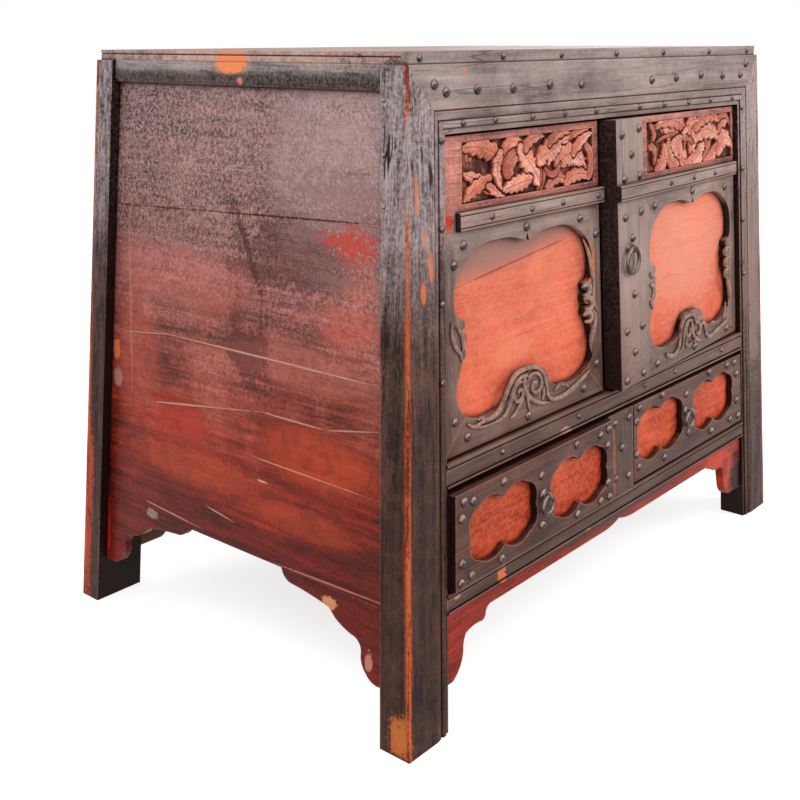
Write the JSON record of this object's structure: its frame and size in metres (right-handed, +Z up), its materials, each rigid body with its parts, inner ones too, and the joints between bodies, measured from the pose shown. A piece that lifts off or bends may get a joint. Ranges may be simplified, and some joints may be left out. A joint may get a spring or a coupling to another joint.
{
  "type": "chinese wedding cabinet",
  "caption": "Low cabinet of splayed posts with mitred, moulded rails, studded doors with cusped frames over drawers with cusped windows, and a cusped apron.",
  "frame": {"origin": "on the floor, under the middle of the cabinet", "axes": "+X to the right along the front, +Y from the front to the back, +Z up"},
  "size_m": [1.025, 0.6739, 0.8348],
  "materials": {
    "dark_lacquer": "worn dark lacquer",
    "side_lacquer": "dark red lacquer",
    "red_lacquer": "worn orange-red lacquer",
    "carved_wood": "worn painted carving",
    "raw_wood": "unfinished, darkened",
    "iron": "dark forged"
  },
  "bodies": {
    "case": {"post_front_left": "dark_lacquer", "post_front_right": "dark_lacquer", "post_back_left": "dark_lacquer", "post_back_right": "dark_lacquer", "front_top_rail": "dark_lacquer", "front_mid_rail": "dark_lacquer", "front_bottom_rail": "dark_lacquer", "drawer_divider": "dark_lacquer", "front_apron": "red_lacquer", "back_apron": "raw_wood", "back_top_rail": "dark_lacquer", "back_panel": "raw_wood", "top_board": "dark_lacquer", "front_edging": "dark_lacquer", "side_rail_left": "dark_lacquer", "side_rail_right": "dark_lacquer", "side_plank_left_upper": "side_lacquer", "side_plank_left_middle": "side_lacquer", "side_plank_left_lower": "side_lacquer", "side_plank_right_upper": "side_lacquer", "side_plank_right_middle": "side_lacquer", "side_plank_right_lower": "side_lacquer", "side_bracket_left_front": "side_lacquer", "side_bracket_left_back": "side_lacquer", "side_bracket_right_front": "side_lacquer", "side_bracket_right_back": "side_lacquer", "cupboard_floor": "raw_wood", "runner_board": "raw_wood", "drawer_guides": "raw_wood", "case_studs": "iron"},
    "door_left": {"door_left_frame_sill": "dark_lacquer", "door_left_frame_jamb_hinge": "dark_lacquer", "door_left_frame_head": "dark_lacquer", "door_left_frame_jamb_meeting": "dark_lacquer", "door_left_astragal": "dark_lacquer", "door_left_plaque": "carved_wood", "door_left_board": "red_lacquer", "door_left_batten": "raw_wood", "door_left_studs": "iron"},
    "door_right": {"door_right_frame_sill": "dark_lacquer", "door_right_frame_jamb_hinge": "dark_lacquer", "door_right_frame_head": "dark_lacquer", "door_right_frame_jamb_meeting": "dark_lacquer", "door_right_astragal": "dark_lacquer", "door_right_plaque": "carved_wood", "door_right_board": "red_lacquer", "door_right_batten": "raw_wood", "door_right_stile": "dark_lacquer", "door_right_ironwork": "iron"},
    "drawer_left": {"drawer_left_frame": "dark_lacquer", "drawer_left_front": "red_lacquer", "drawer_left_box": "raw_wood", "drawer_left_ironwork": "iron"},
    "drawer_right": {"drawer_right_frame": "dark_lacquer", "drawer_right_front": "red_lacquer", "drawer_right_box": "raw_wood", "drawer_right_ironwork": "iron"},
    "ring_door": {"ring_door": "iron"},
    "ring_drawer_left": {"ring_drawer_left": "iron"},
    "ring_drawer_right": {"ring_drawer_right": "iron"}
  },
  "joints": [
    {"name": "door_left_hinge", "type": "hinge", "parent": "case", "child": "door_left", "pos_m": [-0.38331, -0.29007, 0.34525], "axis": [-0.0481, -0.0517, -0.9975], "range_deg": [0, 95]},
    {"name": "door_right_hinge", "type": "hinge", "parent": "case", "child": "door_right", "pos_m": [0.38331, -0.29007, 0.34525], "axis": [-0.0481, 0.0517, 0.9975], "range_deg": [-3.6, 91.4]},
    {"name": "drawer_left_slide", "type": "slide", "parent": "case", "child": "drawer_left", "axis": [0, -1, 0], "range_m": [-0.01, 0.29]},
    {"name": "drawer_right_slide", "type": "slide", "parent": "case", "child": "drawer_right", "axis": [0, -1, 0], "range_m": [0, 0.3]},
    {"name": "ring_door_swing", "type": "hinge", "parent": "door_right", "child": "ring_door", "pos_m": [-0.00262, -0.32627, 0.55263], "axis": [-0.998, -0.0626, 0.0033], "range_deg": [-5, 80]},
    {"name": "ring_drawer_left_swing", "type": "hinge", "parent": "drawer_left", "child": "ring_drawer_left", "pos_m": [-0.22302, -0.3344, 0.24714], "axis": [-1, 0, 0], "range_deg": [-5, 80]},
    {"name": "ring_drawer_right_swing", "type": "hinge", "parent": "drawer_right", "child": "ring_drawer_right", "pos_m": [0.20895, -0.32413, 0.25236], "axis": [-1, 0, 0], "range_deg": [-5, 80]}
  ]
}
